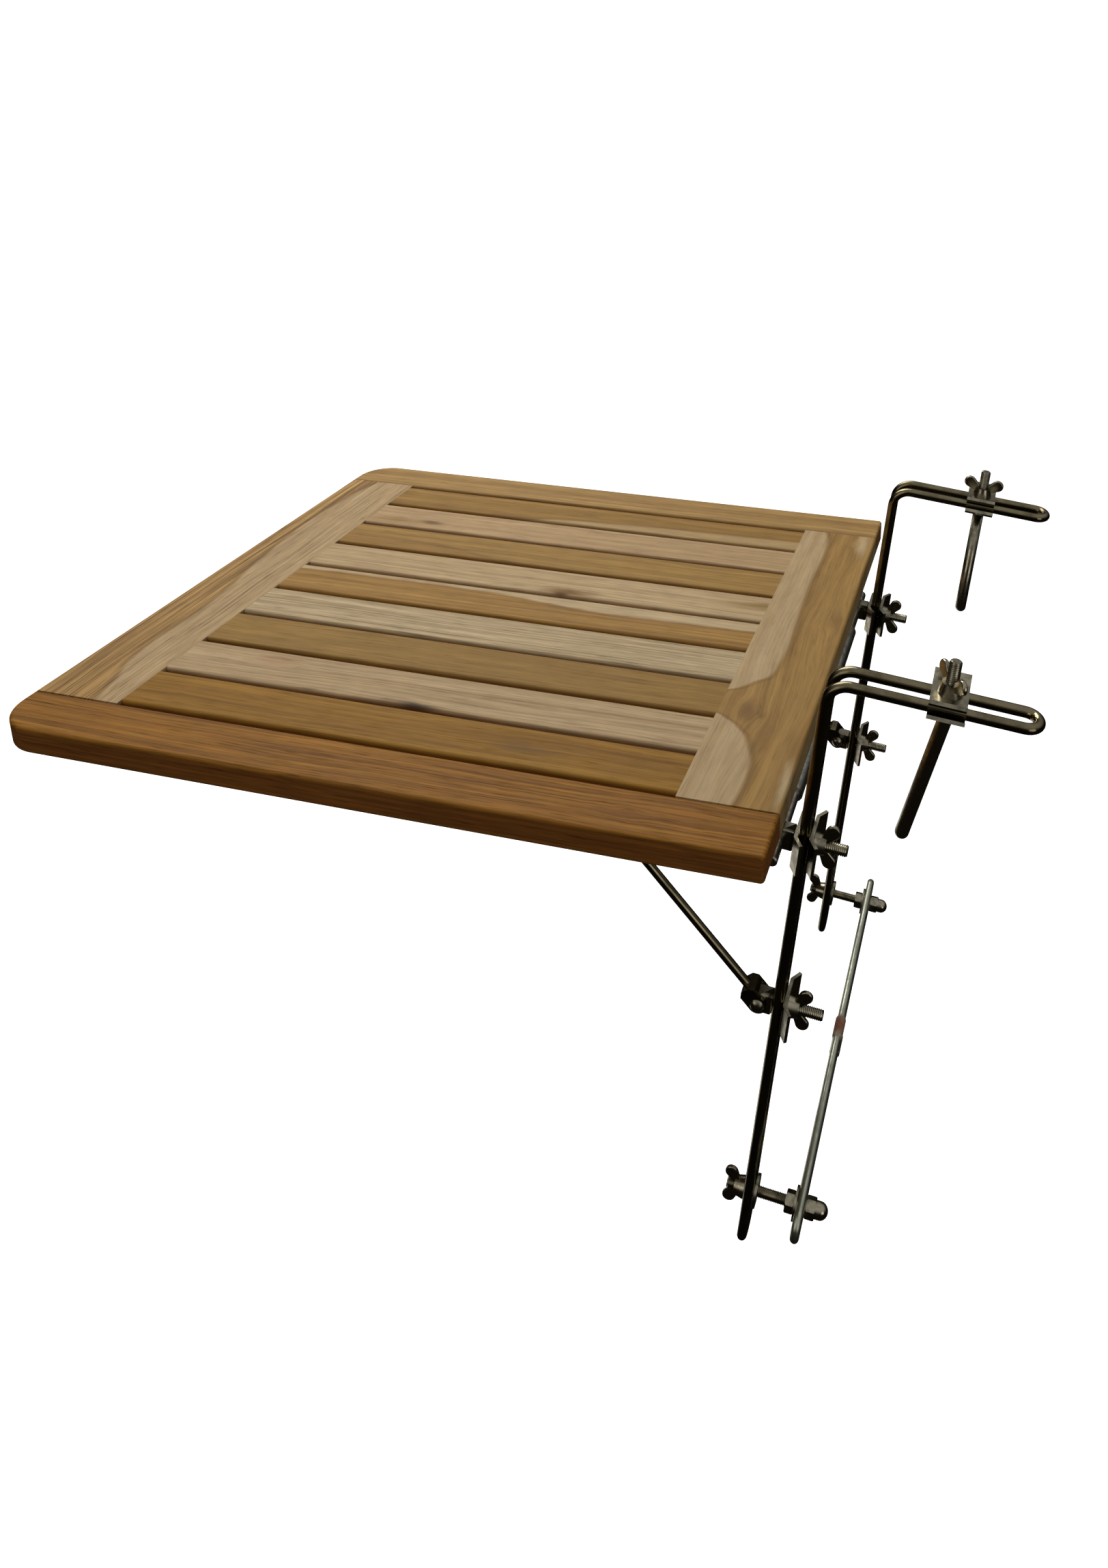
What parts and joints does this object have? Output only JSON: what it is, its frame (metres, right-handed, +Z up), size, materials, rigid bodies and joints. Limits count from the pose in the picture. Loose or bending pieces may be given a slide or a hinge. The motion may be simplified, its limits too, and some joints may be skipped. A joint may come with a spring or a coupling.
{
  "type": "balcony hanging table",
  "caption": "Slatted teak balcony table that hangs on a railing by two bent rod hangers, with sliding clamps, struts and wing nuts.",
  "frame": {"origin": "on top of the railing, in the plane of the legs' railing side, midway between the hangers", "axes": "+X from the table over the railing, +Y along the railing, +Z up"},
  "size_m": [0.6859, 0.5, 0.495],
  "materials": {
    "teak": "satin oiled",
    "zinc_rod": "zinc plated, dull",
    "spreader_steel": "zinc plated, with rust at the weld",
    "zinc_bright": "zinc plated, bright",
    "zinc_hardware": "zinc plated, satin",
    "screw_steel": "satin"
  },
  "bodies": {
    "hangers": {"near_hanger": "zinc_rod", "far_hanger": "zinc_rod"},
    "hinge_clamps": {"near_hinge_eye_bolt": "zinc_hardware", "near_hinge_inner_saddle": "zinc_hardware", "near_hinge_outer_saddle": "zinc_hardware", "far_hinge_eye_bolt": "zinc_hardware", "far_hinge_inner_saddle": "zinc_hardware", "far_hinge_outer_saddle": "zinc_hardware"},
    "table_top": {"front_rail": "teak", "back_rail": "teak", "left_stile": "teak", "right_stile": "teak", "slat_1": "teak", "slat_2": "teak", "slat_3": "teak", "slat_4": "teak", "slat_5": "teak", "slat_6": "teak", "slat_7": "teak", "slat_8": "teak", "slat_9": "teak", "inner_batten": "teak", "outer_batten": "teak", "batten_screws": "screw_steel", "hinge_leaf": "zinc_bright", "hinge_leaf_screws": "screw_steel", "hinge_rod": "zinc_bright", "near_bracket": "zinc_hardware", "far_bracket": "zinc_hardware", "bracket_screws": "screw_steel"},
    "strut_clamps": {"near_strut_eye_bolt": "zinc_hardware", "near_strut_saddle": "zinc_hardware", "far_strut_eye_bolt": "zinc_hardware", "far_strut_saddle": "zinc_hardware"},
    "near_strut": {"near_strut": "zinc_rod", "near_fork_pin": "zinc_hardware", "near_strut_top_pin": "zinc_hardware"},
    "far_strut": {"far_strut": "zinc_rod", "far_fork_pin": "zinc_hardware", "far_strut_top_pin": "zinc_hardware"},
    "near_arm_clamp": {"near_leg_pin": "zinc_hardware", "near_arm_saddle": "zinc_hardware", "near_arm_plate": "zinc_hardware"},
    "far_arm_clamp": {"far_leg_pin": "zinc_hardware", "far_arm_saddle": "zinc_hardware", "far_arm_plate": "zinc_hardware"},
    "spreader_clamps": {"leg_washers": "zinc_hardware"},
    "spreader": {"spreader": "spreader_steel", "spreader_bolts": "zinc_hardware", "spreader_cap_nuts": "zinc_hardware", "spreader_nuts": "zinc_hardware", "spreader_washers": "zinc_hardware"},
    "near_hinge_wing_nut": {"near_hinge_wing_nut": "zinc_hardware"},
    "near_strut_wing_nut": {"near_strut_wing_nut": "zinc_hardware"},
    "near_arm_wing_nut": {"near_arm_wing_nut": "zinc_hardware"},
    "near_spreader_wing_nut": {"near_spreader_wing_nut": "zinc_hardware"},
    "far_hinge_wing_nut": {"far_hinge_wing_nut": "zinc_hardware"},
    "far_strut_wing_nut": {"far_strut_wing_nut": "zinc_hardware"},
    "far_arm_wing_nut": {"far_arm_wing_nut": "zinc_hardware"},
    "far_spreader_wing_nut": {"far_spreader_wing_nut": "zinc_hardware"}
  },
  "joints": [
    {"name": "hinge_height", "type": "slide", "parent": "hangers", "child": "hinge_clamps", "axis": [0, 0, 1], "range_m": [-0.015, 0.04]},
    {"name": "table_fold", "type": "hinge", "parent": "hinge_clamps", "child": "table_top", "pos_m": [-0.0196, 0, -0.118], "axis": [0, -1, 0], "range_deg": [-4, 35]},
    {"name": "strut_clamp_slide", "type": "slide", "parent": "hinge_clamps", "child": "strut_clamps", "axis": [0, 0, 1], "range_m": [-0.0865, 0.0099]},
    {"name": "near_strut_pivot", "type": "hinge", "parent": "strut_clamps", "child": "near_strut", "pos_m": [-0.0173, -0.155, -0.2505], "axis": [0, -1, 0], "range_deg": [-12.1, 1.4]},
    {"name": "far_strut_pivot", "type": "hinge", "parent": "strut_clamps", "child": "far_strut", "pos_m": [-0.0173, 0.155, -0.2505], "axis": [0, -1, 0], "range_deg": [-12.1, 1.4]},
    {"name": "near_arm_clamp_slide", "type": "slide", "parent": "hangers", "child": "near_arm_clamp", "axis": [1, 0, 0], "range_m": [-0.03, 0.035]},
    {"name": "far_arm_clamp_slide", "type": "slide", "parent": "hangers", "child": "far_arm_clamp", "axis": [1, 0, 0], "range_m": [-0.03, 0.035]},
    {"name": "spreader_height", "type": "slide", "parent": "hangers", "child": "spreader_clamps", "axis": [0, 0, 1], "range_m": [-0.014, 0.014]},
    {"name": "spreader_reach", "type": "slide", "parent": "spreader_clamps", "child": "spreader", "axis": [1, 0, 0], "range_m": [-0.01, 0.004]},
    {"name": "near_hinge_wing_nut_turn", "type": "hinge", "parent": "hinge_clamps", "child": "near_hinge_wing_nut", "pos_m": [0.0026, -0.155, -0.118], "axis": [1, 0, 0], "continuous": true},
    {"name": "near_strut_wing_nut_turn", "type": "hinge", "parent": "strut_clamps", "child": "near_strut_wing_nut", "pos_m": [0.0026, -0.155, -0.2505], "axis": [1, 0, 0], "continuous": true},
    {"name": "near_arm_wing_nut_turn", "type": "hinge", "parent": "near_arm_clamp", "child": "near_arm_wing_nut", "pos_m": [0.0675, -0.155, 0.0096], "axis": [0, 0, 1], "continuous": true},
    {"name": "near_spreader_wing_nut_turn", "type": "hinge", "parent": "spreader_clamps", "child": "near_spreader_wing_nut", "pos_m": [-0.0073, -0.155, -0.42], "axis": [-1, 0, 0], "continuous": true},
    {"name": "far_hinge_wing_nut_turn", "type": "hinge", "parent": "hinge_clamps", "child": "far_hinge_wing_nut", "pos_m": [0.0026, 0.155, -0.118], "axis": [1, 0, 0], "continuous": true},
    {"name": "far_strut_wing_nut_turn", "type": "hinge", "parent": "strut_clamps", "child": "far_strut_wing_nut", "pos_m": [0.0026, 0.155, -0.2505], "axis": [1, 0, 0], "continuous": true},
    {"name": "far_arm_wing_nut_turn", "type": "hinge", "parent": "far_arm_clamp", "child": "far_arm_wing_nut", "pos_m": [0.0675, 0.155, 0.0096], "axis": [0, 0, 1], "continuous": true},
    {"name": "far_spreader_wing_nut_turn", "type": "hinge", "parent": "spreader_clamps", "child": "far_spreader_wing_nut", "pos_m": [-0.0073, 0.155, -0.42], "axis": [-1, 0, 0], "continuous": true}
  ],
  "couplings": [
    {"joint": "strut_clamp_slide", "follows": "table_fold", "m_per_rad": -0.14108},
    {"joint": "near_strut_pivot", "follows": "table_fold", "ratio": -0.3429},
    {"joint": "far_strut_pivot", "follows": "table_fold", "ratio": -0.3429}
  ]
}
